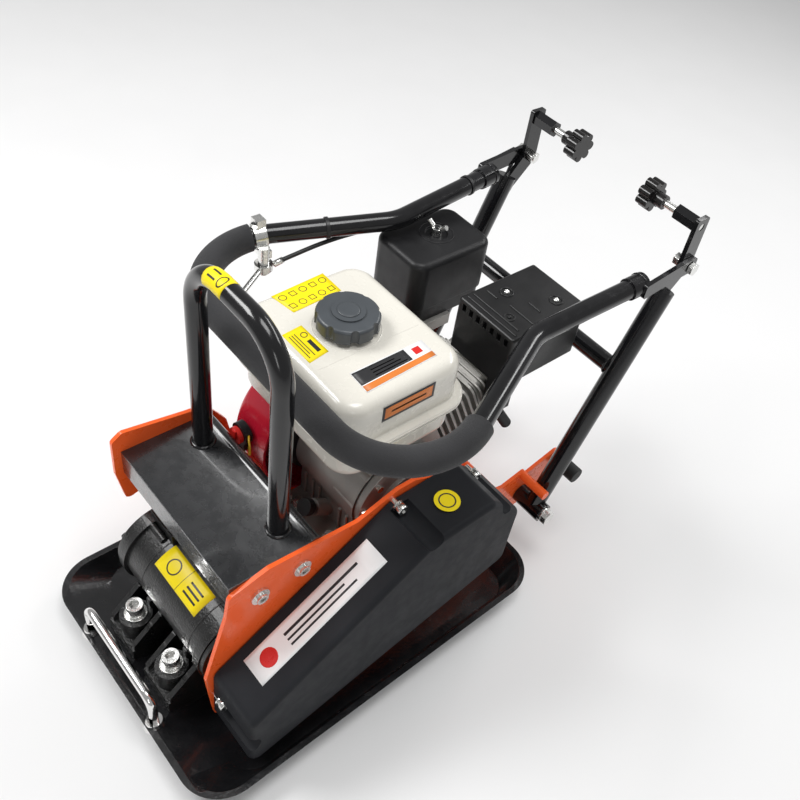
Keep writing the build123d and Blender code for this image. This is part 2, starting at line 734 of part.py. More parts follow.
def control_plate():
    x, y, z = CONTROL
    flange = block(x - 24, x - 20, y - 26, y + 22, z - 40, z)
    return block(x - 24, x + 34, y - 26, y + 22, z - 4, z) + flange


def governor_arm():
    x, y, z = CONTROL
    eye = rod_z(x, y, z + 0.5, z + 6, 8)
    return eye + block(x - 4, x + 4, y, y + 40, z + 1, z + 4)


DIPSTICK = (4, -2, 228)


def oil_dipstick():
    start = DIPSTICK
    direction = (0, -0.8, 0.6)
    head = rod((start[0], start[1] - 8, start[2] + 6), direction, 13, 12)
    return head + rod(start, direction, 8, 12)


def oil_filler():
    x, y, z = DIPSTICK
    collar = rod((x, y + 24, z - 18), (0, -0.8, 0.6), 13, 33)
    return collar - rod((x, y + 4, z - 3), (0, -0.8, 0.6), 8 + RUN_GAP, 30)


# ---- lower handle frame ----
def lower_frame():
    y0, z0 = LOWER_PIVOT
    direction = (0, ARM_TOP[0] - y0, ARM_TOP[1] - z0)
    length = hypot(direction[1], direction[2])
    frame = None
    for side in SIDES:
        arm = rod((side_x(side, ARM_HALF), y0, z0), direction, ARM_R, length)
        arm -= rod((side_x(side, ARM_HALF), y0 + 8, z0 + 21), direction, ARM_R - 3, length - 32)
        arm += side_rod(side, CONSOLE_HALF + SIDE_T + 0.8, ARM_HALF + 23, y0, z0, 17)
        arm -= side_rod(side, CONSOLE_HALF, ARM_HALF + 40, y0, z0, 8 + RUN_GAP)
        lug = [
            (ARM_TOP[0] - 20, ARM_TOP[1] - 40),
            (ARM_TOP[0] - 6, ARM_TOP[1] - 2),
            (KNOB_Y - 14, FOLD_PIVOT[1]),
            (KNOB_Y - 14, KNOB_Z + 14), (KNOB_Y + 14, KNOB_Z + 14), (KNOB_Y + 16, FOLD_PIVOT[1] - 10),
            (ARM_TOP[0] + 12, ARM_TOP[1] - 20), (ARM_TOP[0], ARM_TOP[1] - 44),
        ]
        arm += side_plate_solid(lug, side, ARM_HALF - 8, ARM_HALF - 1, 4)
        arm += side_hex(side, ARM_HALF - 46, ARM_HALF - 1, KNOB_Y, KNOB_Z, 22)
        arm -= side_rod(side, ARM_HALF - 50, ARM_HALF + 10, KNOB_Y, KNOB_Z, 6 + RUN_GAP)
        arm -= side_rod(side, ARM_HALF - 12, ARM_HALF + 10, *FOLD_PIVOT, 6)
        frame = arm if frame is None else frame + arm
    share = 0.66
    y_cross = y0 + share * (ARM_TOP[0] - y0)
    z_cross = z0 + share * (ARM_TOP[1] - z0)
    frame += rod_x(side_x(-1, ARM_HALF), side_x(1, ARM_HALF), y_cross, z_cross, 14)
    return frame


def lower_pivot_bolts():
    solids = []
    for side in SIDES:
        outer = ARM_HALF + 24
        bolt = side_rod(side, CONSOLE_HALF - 14, outer + 8, *LOWER_PIVOT, 8)
        bolt += side_rod(side, outer - 0.5, outer + 2.5, *LOWER_PIVOT, 14)
        bolt += side_hex(side, outer + 2, outer + 13, *LOWER_PIVOT, 22)
        bolt += side_hex(side, CONSOLE_HALF - 12, CONSOLE_HALF, *LOWER_PIVOT, 22)
        solids.append(bolt)
    return Compound(solids)


RUBBER_STOP = (LOWER_PIVOT[0] + 76, LOWER_PIVOT[1] + 40)


def rubber_stops():
    solids = []
    for side in SIDES:
        half0 = CONSOLE_HALF + SIDE_T
        solids.append(side_rod(side, half0, half0 + 52, *RUBBER_STOP, 14))
    return solids


def fold_bolts():
    solids = []
    for side in SIDES:
        bolt = side_rod(side, ARM_HALF - 22, ARM_HALF + 12, *FOLD_PIVOT, 6)
        bolt += side_hex(side, ARM_HALF + 7.5, ARM_HALF + 15, *FOLD_PIVOT, 18)
        bolt += side_hex(side, ARM_HALF - 20, ARM_HALF - 8, *FOLD_PIVOT, 18)
        solids.append(bolt)
    return Compound(solids)


def lock_stud(side):
    return side_rod(side, ARM_HALF - 100, ARM_HALF - 2, KNOB_Y, KNOB_Z, 6)


def star_knob(side):
    inner = ARM_HALF - 106
    disc = side_rod(side, inner, inner + 20, KNOB_Y, KNOB_Z, 17)
    for step in range(7):
        angle = 2 * pi * step / 7
        disc += side_rod(side, inner, inner + 20, KNOB_Y + 17 * cos(angle), KNOB_Z + 17 * sin(angle), 7)
    disc += side_rod(side, inner + 20, inner + 37, KNOB_Y, KNOB_Z, 11)
    return disc - side_rod(side, inner + 5, inner + 60, KNOB_Y, KNOB_Z, 6 + RUN_GAP)


# ---- upper handle ----
BEND = (144, 248)
CORNER = (278, HANDLE_FRONT[0])
CORNER_R = 103
TUBE_END = (158, 452)


def handle_point(side, half, y):
    return (side_x(side, half), y, handle_z(y))


HANDLE_RADII = [70, CORNER_R, CORNER_R, 70]


def handle_points():
    left = [handle_point(-1, *TUBE_END), handle_point(-1, *BEND), handle_point(-1, *CORNER)]
    return left + [handle_point(1, *CORNER), handle_point(1, *BEND), handle_point(1, *TUBE_END)]


def handle_tube(radius):
    return tube(handle_points(), HANDLE_RADII, radius)


def upper_handle():
    handle = handle_tube(HANDLE_R)
    y1, z1 = FOLD_PIVOT
    for side in SIDES:
        lug = [
            (y1 - 104, z1 - 19), (y1 - 104, z1 + 5), (y1 - 20, z1 + 13), (y1 + 13, z1 + 13),
            (y1 + 13, z1 - 12), (y1 - 30, z1 - 13),
        ]
        handle += side_plate_solid(lug, side, ARM_HALF - 0.4, ARM_HALF + 6.6, 5)
        handle -= side_rod(side, ARM_HALF - 2, ARM_HALF + 10, *FOLD_PIVOT, 6 + RUN_GAP)
        start = handle_point(side, *TUBE_END)
        toward = handle_point(side, *BEND)
        direction = tuple(b - a for a, b in zip(start, toward))
        handle += rod(start, direction, HANDLE_R + 2.5, 30)
    return handle - handle_tube(HANDLE_R - 2.5)


def foam_grip():
    corner = handle_point(1, *CORNER)
    bend = handle_point(1, *BEND)
    share = 0.535
    start = tuple(b + share * (a - b) for a, b in zip(corner, bend))
    mirror_start = (2 * BODY_X - start[0], start[1], start[2])
    points = [start, corner, handle_point(-1, *CORNER), mirror_start]
    foam = tube(points, [CORNER_R, CORNER_R], FOAM_R) - tube(points, [CORNER_R, CORNER_R], HANDLE_R)
    x, y, z = clamp_centre()
    dx, dy, dz = clamp_direction()
    gap = CLAMP_L + 3
    cut = Plane(origin=(x + gap * dx, y + gap * dy, z + gap * dz), z_dir=(-dx, -dy, -dz))
    return foam - extrude(cut * Rectangle(70, 70), 60)


# ---- throttle control on the left arm, and its cable ----
CLAMP_ALONG = 403
CLAMP_L = 9
CLAMP_DROP = 30


def on_left_arm(share):
    corner = handle_point(-1, *CORNER)
    bend = handle_point(-1, *BEND)
    return tuple(b + share * (a - b) for a, b in zip(corner, bend))


def clamp_centre():
    path = FilletPolyline(*handle_points(), radius=HANDLE_RADII)
    return tuple(path.position_at(CLAMP_ALONG / path.length))


def clamp_direction():
    path = FilletPolyline(*handle_points(), radius=HANDLE_RADII)
    return tuple(path.tangent_at(CLAMP_ALONG / path.length))


def throttle_clamp():
    cx, cy, cz = clamp_centre()
    plane = Plane(origin=(cx, cy, cz), z_dir=clamp_direction())
    clamp = extrude(plane * Circle(HANDLE_R + 4), CLAMP_L - 0.5, both=True)
    clamp += block(cx - 8, cx + 8, cy - 7, cy + 7, cz, cz + HANDLE_R + 15)
    x, y, z = lever_pivot()
    clamp += rod_z(x, y, z + 2, cz - 2, 8)
    clamp += block(cx, x + 5, min(cy, y) - 3, max(cy, y) + 3, cz - HANDLE_R - 6, cz - 8)
    clamp -= handle_tube(HANDLE_R)
    clamp -= rod_z(x, y, z - 20, z + 12, 3.5)
    return Compound([clamp, throttle_pivot_bolt()])


def lever_pivot():
    x, y, z = clamp_centre()
    return (x + 24, y - 7, z - CLAMP_DROP)


def throttle_pivot_bolt():
    x, y, z = lever_pivot()
    bolt = rod_z(x, y, z - 16, z + 12, 3.5) + hexagon((x, y, z - 17), (0, 0, 1), 11, 6)
    return bolt + rod_z(x, y, z - 12, z - 10, 10)


def throttle_lever():
    x, y, z = lever_pivot()
    lever = rod_z(x, y, z - 8, z + 1.5, 13) - rod_z(x, y, z - 9, z + 3, 3.5 + RUN_GAP)
    arm = rod((x, y, z - 4), (0.49, -0.87, -0.08), 4, 70)
    return lever + (arm - rod_z(x, y, z - 20, z + 12, 5))


CABLE_R = 3.2
CABLE_HALF = 193


def cable_radii(points):
    radii = []
    for before, corner, after in zip(points, points[1:], points[2:]):
        run_in = Vector(*corner) - Vector(*before)
        run_out = Vector(*after) - Vector(*corner)
        turn = radians(run_in.get_angle(run_out))
        radii.append(0.45 * min(run_in.length, run_out.length) / tan(turn / 2))
    return radii


def cable_upper_points():
    x, y, z = lever_pivot()
    under = HANDLE_R + CABLE_R + 1.5
    near_clamp = on_left_arm(0.30)
    bend = handle_point(-1, *BEND)
    end = handle_point(-1, *TUBE_END)
    out_x = side_x(-1, CABLE_HALF)
    return [
        (x + 4, y + 17, z - 2),
        (near_clamp[0] + 4, near_clamp[1], near_clamp[2] - under),
        (bend[0] - 15, bend[1], bend[2] - 15),
        (bend[0] - 21, bend[1] + 90, handle_z(bend[1] + 90) - 14),
        (end[0] - 20, end[1] - 20, end[2] - 6),
        (out_x, FOLD_PIVOT[0] - 56, FOLD_PIVOT[1] - 12),
        (out_x, FOLD_PIVOT[0] - 5, FOLD_PIVOT[1] - 4),
    ]


def cable_lower_points():
    out_x = side_x(-1, CABLE_HALF)
    y, z = FOLD_PIVOT
    return [
        (out_x, y + 4, z - 9),
        (out_x + 2, y - 14, z - 60),
        (out_x + 4, 470, 404),
        (out_x + 2, 436, 312),
        (out_x + 4, 402, 222),
        (out_x, LOWER_PIVOT[0] + 11, LOWER_PIVOT[1] + 30),
    ]


def cable_engine_points():
    x = side_x(-1, CABLE_HALF)
    y, z = LOWER_PIVOT
    return [
        (x - 1, y + 1, z + 28),
        (x - 3, y - 10, z + 66),
        (x + 16, y - 22, z + 86),
        (-160, 306, 216),
        (-124, 284, 246),
        (-114, 250, 270),
        (-108, 205, 330),
        (-72, 190, 398),
        (CONTROL[0] - 28, CONTROL[1] - 2, CONTROL[2] - 8),
    ]


def cable(points):
    return tube(points, cable_radii(points), CABLE_R)


def switch_wire():
    x, y, z = SWITCH
    points = [
        (x, y + 7, z - 30),
        (x + 2, y + 4, z - 52),
        (x + 16, y + 8, z - 74),
        (x + 46, y + 24, z - 84),
    ]
    return tube(points, cable_radii(points), 1.6)


# ---- every node ----
nodes["base_plate"] = base_plate()
nodes["rubber_buffers"] = rubber_buffers()
nodes["front_carry_bar"] = carry_bar()
nodes["exciter_housing"] = exciter_housing()
nodes["exciter_end_covers"] = exciter_end_covers()
nodes["exciter_bearings"] = exciter_bearings()
nodes["exciter_screws"] = exciter_screws()
nodes["eccentric_shaft"] = eccentric_shaft()
nodes["eccentric_weight"] = eccentric_weight()
nodes["exciter_pulley"] = exciter_pulley()
nodes["v_belt"] = v_belt()
nodes["engine_bed"] = engine_bed() + bed_cross_tube()
nodes["side_plate_right"] = side_plate_right()
nodes["side_plate_left"] = side_plate_left()
nodes["hoop_deck"] = hoop_deck()
nodes["lift_hoop"] = lift_hoop()
nodes["belt_guard"] = belt_guard()
nodes["console_bolts"] = console_bolts()
nodes["crankcase"] = crankcase()
nodes["engine_bolts"] = engine_bolts()
nodes["crankcase_side_cover"] = crankcase_side_cover()
nodes["cylinder_head"] = Compound([cylinder_head(), rocker_cover()])
nodes["spark_plug_cap"] = spark_plug_cap()
nodes["crankshaft"] = crankshaft()
nodes["flywheel"] = flywheel()
nodes["clutch_hub"] = clutch_hub()
nodes["clutch_drum"] = clutch_drum() + drum_bearing()
nodes["fan_shroud"] = fan_shroud()
nodes["recoil_cover"] = recoil_cover()
nodes["starter_reel"] = starter_reel()
nodes["starter_grip"] = starter_grip()
nodes["switch_body"] = Compound([switch_body(), switch_wire()])
nodes["switch_knob"] = switch_knob()
nodes["fuel_tank"] = fuel_tank()
nodes["fuel_cap"] = fuel_cap()
nodes["muffler_body"] = muffler_body() + exhaust_elbow()
nodes["muffler_shield"] = muffler_shield()
nodes["air_cleaner_base"] = air_cleaner_base()
nodes["air_cleaner_cover"] = air_cleaner_cover()
nodes["air_filter"] = air_filter()
nodes["air_wing_nut"] = air_wing_nut()
nodes["carburettor"] = carburettor()
nodes["choke_lever"] = choke_lever()
nodes["fuel_valve_lever"] = fuel_valve_lever()
nodes["governor_arm"] = governor_arm()
nodes["oil_dipstick"] = oil_dipstick()
nodes["lower_frame"] = lower_frame()
nodes["lower_pivot_bolts"] = lower_pivot_bolts()
nodes["fold_bolts"] = fold_bolts()
for label, side in (("right", 1), ("left", -1)):
    nodes[f"lock_stud_{label}"] = lock_stud(side)
    nodes[f"star_knob_{label}"] = star_knob(side)
nodes["upper_handle"] = upper_handle()
nodes["foam_grip"] = foam_grip()
nodes["throttle_clamp"] = throttle_clamp()
nodes["throttle_lever"] = throttle_lever()
nodes["throttle_cable_upper"] = cable(cable_upper_points())
nodes["throttle_cable_lower"] = cable(cable_lower_points())
nodes["throttle_cable_engine"] = cable(cable_engine_points())

for name, shape in nodes.items():
    export_step(shape, f"parts/{name}.step")
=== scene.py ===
import json
import math
import random

import bmesh
import bpy
from mathutils import Matrix, Vector


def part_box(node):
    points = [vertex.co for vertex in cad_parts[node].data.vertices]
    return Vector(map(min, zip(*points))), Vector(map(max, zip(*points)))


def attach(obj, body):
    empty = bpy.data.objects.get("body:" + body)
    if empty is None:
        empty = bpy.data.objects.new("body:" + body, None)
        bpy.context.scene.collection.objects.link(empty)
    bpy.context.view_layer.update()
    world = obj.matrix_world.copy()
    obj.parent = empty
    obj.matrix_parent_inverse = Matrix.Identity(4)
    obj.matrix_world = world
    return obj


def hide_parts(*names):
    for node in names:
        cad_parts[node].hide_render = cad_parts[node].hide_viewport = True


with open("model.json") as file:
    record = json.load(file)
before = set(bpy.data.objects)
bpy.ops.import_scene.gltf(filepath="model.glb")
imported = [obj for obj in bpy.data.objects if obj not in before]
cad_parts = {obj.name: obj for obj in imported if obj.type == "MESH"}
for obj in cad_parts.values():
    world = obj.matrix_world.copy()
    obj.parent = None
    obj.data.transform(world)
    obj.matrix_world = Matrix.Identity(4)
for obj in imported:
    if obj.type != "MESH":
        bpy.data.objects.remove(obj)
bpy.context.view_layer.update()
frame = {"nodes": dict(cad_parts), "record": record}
random.seed(7)

MM = 0.001

# Places and sizes that several pieces share, in millimetres.
CENTRE_X = -23
HOOP_Y = -106
HOOP_HALF = 89
HOOP_BEND_Z = 581
HOOP_BEND_RADIUS = 62
HOOP_LABEL_REACH = 13.5
TANK_TOP = 518
TANK_WIDTH = 237
TANK_DEPTH = 197
FILLER_X = -35
FILLER_Y = 61
MUFFLER_TOP = 508
EXCITER_Y = -172
EXCITER_Z = 146
CRANK_Y = 88
CRANK_Z = 280
PLATE_FACE_X = 113
GUARD_SEAT_X = 127
GUARD_SLOPE_FOOT = (-233, 166)
GUARD_SLOPE_HEAD = (35, 330)
ARM_BEND_Y = 248
ARM_BEND_HALF = 144
ARM_HINGE_Y = 541
ARM_HINGE_Z = 556
ARM_FALL = 0.06633
ARM_FRONT_RUN = (-134, -310, -20.6)
ARM_REAR_RUN = (-14, 204, 13.5)

# A label's face and the marks on it, and the steps that their curves are made in.
LABEL_LIFT = 0.30
MARK_LIFT = 0.48
LABEL_THICKNESS = 0.25
SHEET_STEPS = 8
RING_STEPS = 20

EDGE_SEGMENTS = 2
EDGE_ANGLE = 33

CAMERA_PLACE = (0.6197, -0.5009, 1.2797)
CAMERA_AZIMUTH = 37.5
CAMERA_ELEVATION = 43.9
CAMERA_ROLL = -14.0
CAMERA_LENS_MM = 39.93
CAMERA_SHIFT = (-0.0931, -0.0151)
WORLD_STRENGTH = 0.36

FLOOR_HALF = 6
FLOOR_DROP = 0.0005


# ---------------------------------------------------------------- camera and light
def make_camera():
    azimuth = math.radians(CAMERA_AZIMUTH)
    elevation = math.radians(CAMERA_ELEVATION)
    roll = math.radians(CAMERA_ROLL)
    forward = Vector((
        -math.sin(azimuth) * math.cos(elevation),
        math.cos(azimuth) * math.cos(elevation),
        -math.sin(elevation),
    ))
    level = Vector((math.cos(azimuth), math.sin(azimuth), 0))
    upward = level.cross(forward)
    right = level * math.cos(roll) - upward * math.sin(roll)
    up = upward * math.cos(roll) + level * math.sin(roll)
    data = bpy.data.cameras.new("camera")
    data.sensor_width = 36
    data.lens = CAMERA_LENS_MM
    data.shift_x, data.shift_y = CAMERA_SHIFT
    data.clip_start = 0.05
    camera = bpy.data.objects.new("camera", data)
    bpy.context.collection.objects.link(camera)
    turn = Matrix((right, up, -forward)).transposed()
    camera.matrix_world = Matrix.Translation(CAMERA_PLACE) @ turn.to_4x4()
    bpy.context.scene.camera = camera


def area_light(name, place, target, size, power, colour=(1, 1, 1)):
    data = bpy.data.lights.new(name, "AREA")
    data.shape = "RECTANGLE"
    data.size, data.size_y = size
    data.energy = power
    data.color = colour
    light = bpy.data.objects.new(name, data)
    bpy.context.collection.objects.link(light)
    light.location = place
    light.rotation_euler = (Vector(target) - Vector(place)).to_track_quat("-Z", "Y").to_euler()


def make_lights():
    area_light("key", (-1.5, -1.1, 2.6), (0, 0, 0.2), (1.3, 0.9), 52)
    area_light("fill", (2.4, -1.8, 1.7), (0, 0, 0.25), (0.5, 1.4), 9)
    area_light("back", (0.2, 2.6, 2.2), (0, 0.1, 0.3), (2.2, 0.5), 30)
    area_light("overhead", (0.3, 0.2, 3.0), (0, 0.1, 0.3), (1.1, 1.1), 28)
    world = bpy.data.worlds.new("studio")
    bpy.context.scene.world = world
    world.use_nodes = True
    back = world.node_tree.nodes["Background"]
    back.inputs["Color"].default_value = (1.0, 1.0, 1.0, 1)
    back.inputs["Strength"].default_value = WORLD_STRENGTH


make_camera()
make_lights()
bpy.context.scene.view_settings.view_transform = "Standard"


# ---------------------------------------------------------------- materials
def finish(name, colour, rough, metal=0.0, coat=0.0, vary=0.12, grain=None, dimple=None, spec=0.5,
           vary_scale=14, rough_vary=0.06, sheen=0.0):
    """A procedural surface: colour and roughness drift, fine grain bump and a coarser dimple bump."""
    mat = bpy.data.materials.new(name)
    mat.use_nodes = True
    nodes = mat.node_tree.nodes
    links = mat.node_tree.links
    shader = nodes["Principled BSDF"]
    shader.inputs["Metallic"].default_value = metal
    shader.inputs["Specular IOR Level"].default_value = spec
    shader.inputs["Coat Weight"].default_value = coat
    shader.inputs["Coat Roughness"].default_value = 0.06
    shader.inputs["Sheen Weight"].default_value = sheen
    place = nodes.new("ShaderNodeTexCoord")

    drift = nodes.new("ShaderNodeTexNoise")
    drift.inputs["Scale"].default_value = vary_scale
    drift.inputs["Detail"].default_value = 5
    links.new(place.outputs["Object"], drift.inputs["Vector"])
    ramp = nodes.new("ShaderNodeValToRGB")
    ramp.color_ramp.elements[0].position = 0.3
    ramp.color_ramp.elements[1].position = 0.7
    ramp.color_ramp.elements[0].color = [max(0, c * (1 - vary)) for c in colour] + [1]
    ramp.color_ramp.elements[1].color = [min(1, c * (1 + vary)) for c in colour] + [1]
    links.new(drift.outputs["Fac"], ramp.inputs["Fac"])
    links.new(ramp.outputs["Color"], shader.inputs["Base Color"])

    smear = nodes.new("ShaderNodeTexNoise")
    smear.inputs["Scale"].default_value = vary_scale * 4
    smear.inputs["Detail"].default_value = 3
    links.new(place.outputs["Object"], smear.inputs["Vector"])
    spread = nodes.new("ShaderNodeMapRange")
    spread.inputs["From Min"].default_value = 0.3
    spread.inputs["From Max"].default_value = 0.7
    spread.inputs["To Min"].default_value = max(0.02, rough - rough_vary)
    spread.inputs["To Max"].default_value = min(1, rough + rough_vary)
    links.new(smear.outputs["Fac"], spread.inputs["Value"])
    links.new(spread.outputs["Result"], shader.inputs["Roughness"])

    normal = None
    for setting in (dimple, grain):
        if not setting:
            continue
        scale, strength, distance = setting
        noise = nodes.new("ShaderNodeTexNoise")
        noise.inputs["Scale"].default_value = scale
        noise.inputs["Detail"].default_value = 4
        links.new(place.outputs["Object"], noise.inputs["Vector"])
        bump = nodes.new("ShaderNodeBump")
        bump.inputs["Strength"].default_value = strength
        bump.inputs["Distance"].default_value = distance
        links.new(noise.outputs["Fac"], bump.inputs["Height"])
        if normal:
            links.new(normal.outputs["Normal"], bump.inputs["Normal"])
        normal = bump
    if normal:
        links.new(normal.outputs["Normal"], shader.inputs["Normal"])
    return mat


ORANGE = finish("orange_gloss_paint", (1.0, 0.135, 0.026), 0.30, coat=0.15, vary=0.02,
                dimple=(260, 0.05, 0.0004), spec=0.3)
BLACK = finish("black_gloss_paint", (0.006, 0.006, 0.007), 0.17, coat=0.4, vary=0.25,
               dimple=(300, 0.09, 0.0006), spec=0.35)
CAST_BLACK = finish("black_casting", (0.008, 0.008, 0.008), 0.30, coat=0.25, vary=0.3,
                    grain=(420, 0.85, 0.0012), dimple=(140, 0.4, 0.0014), spec=0.45)
KNOB = finish("glossy_knob_plastic", (0.008, 0.007, 0.007), 0.20, vary=0.2, grain=(1500, 0.08, 0.0002))
DECK = finish("black_deck_paint", (0.018, 0.019, 0.021), 0.27, coat=0.6, vary=0.3,
              dimple=(60, 0.25, 0.0012), spec=0.6)
GASKET = finish("dark_gasket", (0.03, 0.028, 0.026), 0.7, vary=0.2, grain=(900, 0.2, 0.0003))
ENAMEL = finish("black_enamel", (0.009, 0.009, 0.0095), 0.36, coat=0.1, vary=0.25,
                grain=(900, 0.12, 0.0003), spec=0.35)
GUARD = finish("dark_moulded_guard", (0.020, 0.021, 0.024), 0.50, vary=0.15, grain=(1300, 0.2, 0.0003),
               spec=0.09)
PLASTIC = finish("black_moulded_plastic", (0.010, 0.010, 0.011), 0.42, vary=0.2, grain=(1500, 0.2, 0.0003),
                 spec=0.35)
CAP_GREY = finish("dark_grey_plastic", (0.062, 0.070, 0.078), 0.36, vary=0.12, grain=(1500, 0.2, 0.0002))
FOAM = finish("foam_rubber", (0.030, 0.030, 0.032), 0.86, vary=0.3, grain=(1400, 0.8, 0.0009),
              dimple=(420, 0.5, 0.0010), sheen=0.15, spec=0.3)
RUBBER = finish("black_rubber", (0.012, 0.012, 0.012), 0.62, vary=0.25, grain=(700, 0.25, 0.0004))
CREAM = finish("cream_tank_paint", (0.73, 0.705, 0.635), 0.26, coat=0.35, vary=0.02,
               dimple=(220, 0.03, 0.0004))
ZINC = finish("zinc_plating", (0.80, 0.80, 0.78), 0.24, metal=1.0, vary=0.06, vary_scale=40,
              grain=(900, 0.03, 0.0002))
CHROME = finish("bright_bar", (0.82, 0.81, 0.80), 0.13, metal=1.0, vary=0.05, vary_scale=30,
                grain=(500, 0.02, 0.0002))
STEEL = finish("turned_steel", (0.50, 0.49, 0.48), 0.34, metal=1.0, vary=0.15, vary_scale=50,
               grain=(800, 0.15, 0.0003))
ALLOY = finish("cast_alloy", (0.35, 0.34, 0.32), 0.44, metal=0.6, vary=0.14, vary_scale=30,
               grain=(900, 0.45, 0.0006))
IRON = finish("grey_iron", (0.13, 0.12, 0.115), 0.50, metal=0.8, vary=0.2, vary_scale=30,
              grain=(800, 0.35, 0.0006))
BROWN = finish("brownish_flange", (0.16, 0.125, 0.085), 0.45, metal=0.5, vary=0.2, vary_scale=40,
               grain=(800, 0.3, 0.0005))
TRAY = finish("black_tray_paint", (0.009, 0.009, 0.010), 0.22, coat=0.4, vary=0.3,
              dimple=(190, 0.35, 0.0012), grain=(700, 0.12, 0.0004))
DEEP_RED = finish("deep_red_enamel", (0.50, 0.010, 0.030), 0.26, coat=0.4, vary=0.08,
                  dimple=(260, 0.08, 0.0005))
RED = finish("bright_red_plastic", (0.66, 0.018, 0.015), 0.32, vary=0.06, grain=(1200, 0.12, 0.0003))
FILTER = finish("filter_foam", (0.10, 0.09, 0.07), 0.9, vary=0.3, grain=(900, 0.8, 0.001))
CABLE = finish("cable_sleeve", (0.011, 0.011, 0.012), 0.36, vary=0.2, grain=(900, 0.1, 0.0003))
YELLOW_LABEL = finish("yellow_label", (0.96, 0.76, 0.008), 0.42, vary=0.03, grain=(900, 0.05, 0.0002),
                      spec=0.3)
WHITE_LABEL = finish("white_label", (0.90, 0.90, 0.90), 0.40, vary=0.02, grain=(900, 0.05, 0.0002))
ORANGE_LABEL = finish("orange_label", (0.70, 0.20, 0.03), 0.42, vary=0.05, grain=(900, 0.05, 0.0002))
INK = finish("label_ink", (0.018, 0.018, 0.02), 0.45, vary=0.1, grain=(900, 0.05, 0.0002))
YELLOW_WIRE = finish("yellow_wire", (0.75, 0.50, 0.03), 0.40, vary=0.06, grain=(900, 0.08, 0.0002))


# ---------------------------------------------------------------- making pieces
def link(name, mesh, material, body, smooth=True):
    piece = bpy.data.objects.new(name, mesh)
    bpy.context.collection.objects.link(piece)
    if smooth:
        mesh.shade_smooth()
    mesh.materials.clear()
    mesh.materials.append(material)
    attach(piece, body)
    return piece


def bevelled(piece, width):
    modifier = piece.modifiers.new("edges", "BEVEL")
    modifier.width = width
    modifier.segments = EDGE_SEGMENTS
    modifier.limit_method = "ANGLE"
    modifier.angle_limit = math.radians(EDGE_ANGLE)
    modifier.harden_normals = True
    modifier.use_clamp_overlap = True
    modifier.miter_outer = "MITER_ARC"
    return piece


def refined(node, material, width, body):
    """A CAD node's own shape with rounded edges, shown in place of the node."""
    mesh = frame["nodes"][node].data.copy()
    bm = bmesh.new()
    bm.from_mesh(mesh)
    bmesh.ops.remove_doubles(bm, verts=bm.verts, dist=2e-5)
    bmesh.ops.dissolve_limit(bm, angle_limit=math.radians(0.6), verts=bm.verts, edges=bm.edges)
    bm.to_mesh(mesh)
    bm.free()
    for attribute in ("custom_normal", "sharp_edge", "sharp_face"):
        if attribute in mesh.attributes:
            mesh.attributes.remove(mesh.attributes[attribute])
    piece = link(node + "_detailed", mesh, material, body)
    bevelled(piece, width)
    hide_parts(node)
    return piece


NODE_LOOKS = {
    "base_plate": (TRAY, 2.6), "engine_bed": (ORANGE, 1.2), "side_plate_right": (ORANGE, 0.9),
    "side_plate_left": (ORANGE, 0.9), "hoop_deck": (DECK, 0.8), "lift_hoop": (BLACK, 0.8),
    "lower_frame": (BLACK, 1.0), "upper_handle": (BLACK, 1.0), "exciter_housing": (CAST_BLACK, 2.0),
    "exciter_end_covers": (CAST_BLACK, 1.2), "exciter_screws": (ZINC, 0.6), "console_bolts": (ZINC, 0.5),
    "engine_bolts": (ZINC, 0.5), "lower_pivot_bolts": (ZINC, 0.7), "fold_bolts": (ZINC, 0.6),
    "air_wing_nut": (ZINC, 0.8), "lock_stud_right": (ZINC, 0.5), "lock_stud_left": (ZINC, 0.5),
    "front_carry_bar": (CHROME, 0.7), "throttle_clamp": (ZINC, 0.6), "exciter_bearings": (STEEL, 0.4),
    "eccentric_shaft": (STEEL, 0.5), "eccentric_weight": (IRON, 0.8), "exciter_pulley": (IRON, 0.5),
    "crankshaft": (STEEL, 0.5), "clutch_hub": (STEEL, 0.5), "clutch_drum": (BROWN, 0.6),
    "flywheel": (IRON, 0.8), "crankcase": (ALLOY, 1.5), "crankcase_side_cover": (ALLOY, 1.2),
    "cylinder_head": (ALLOY, 0.7), "carburettor": (ALLOY, 0.8), "rubber_buffers": (RUBBER, 1.5),
    "spark_plug_cap": (RUBBER, 1.5), "v_belt": (RUBBER, 0.6), "belt_guard": (GUARD, 1.6),
    "air_cleaner_base": (PLASTIC, 1.2), "air_cleaner_cover": (PLASTIC, 2.2), "star_knob_right": (KNOB, 1.6),
    "star_knob_left": (KNOB, 1.6), "starter_reel": (PLASTIC, 0.6), "starter_grip": (PLASTIC, 2.0),
    "choke_lever": (PLASTIC, 0.8), "fuel_valve_lever": (PLASTIC, 0.8), "throttle_lever": (ZINC, 0.8),
    "oil_dipstick": (PLASTIC, 0.8), "switch_body": (PLASTIC, 1.2), "muffler_body": (ENAMEL, 1.5),
    "muffler_shield": (ENAMEL, 0.8), "fan_shroud": (DEEP_RED, 2.0), "recoil_cover": (DEEP_RED, 1.6),
    "switch_knob": (RED, 1.5), "fuel_tank": (CREAM, 2.5), "fuel_cap": (CAP_GREY, 1.5),
    "air_filter": (FILTER, 1.0), "governor_arm": (STEEL, 0.4), "foam_grip": (FOAM, 1.5),
}

NODE_BODY = {}
for body_name, members in frame["record"]["behaviour"]["bodies"].items():
    for member in members:
        NODE_BODY[member] = body_name

for cable_node in ("throttle_cable_upper", "throttle_cable_lower", "throttle_cable_engine"):
    cable_mesh = frame["nodes"][cable_node].data
    cable_mesh.materials.clear()
    cable_mesh.materials.append(CABLE)

for node_name, (look, edge_mm) in NODE_LOOKS.items():
    refined(node_name, look, edge_mm * MM, NODE_BODY[node_name])


